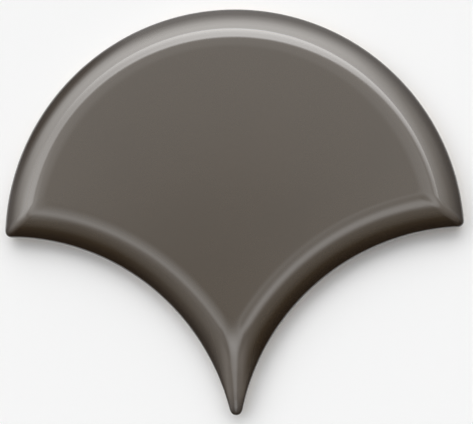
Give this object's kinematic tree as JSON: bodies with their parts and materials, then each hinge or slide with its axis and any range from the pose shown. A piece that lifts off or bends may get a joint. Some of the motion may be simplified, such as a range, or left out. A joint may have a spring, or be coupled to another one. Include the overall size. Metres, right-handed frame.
{
  "type": "fish scale tile",
  "caption": "Glossy glazed ceramic wall tile in the shape of a fish scale: a round head, concave sides that meet at a blunt tip, and a convex bevel around a flat field.",
  "frame": {"origin": "centre of the round arc of the outline, on the plane that the back rests on", "axes": "+X along the width, +Y from the round arc's centre to the middle of the round arc (away from the tip), +Z out of the glazed face"},
  "size_m": [0.1198, 0.106, 0.009],
  "materials": {
    "glaze": "gloss"
  },
  "bodies": {
    "root": {"fish_scale_tile": "glaze"}
  },
  "joints": []
}
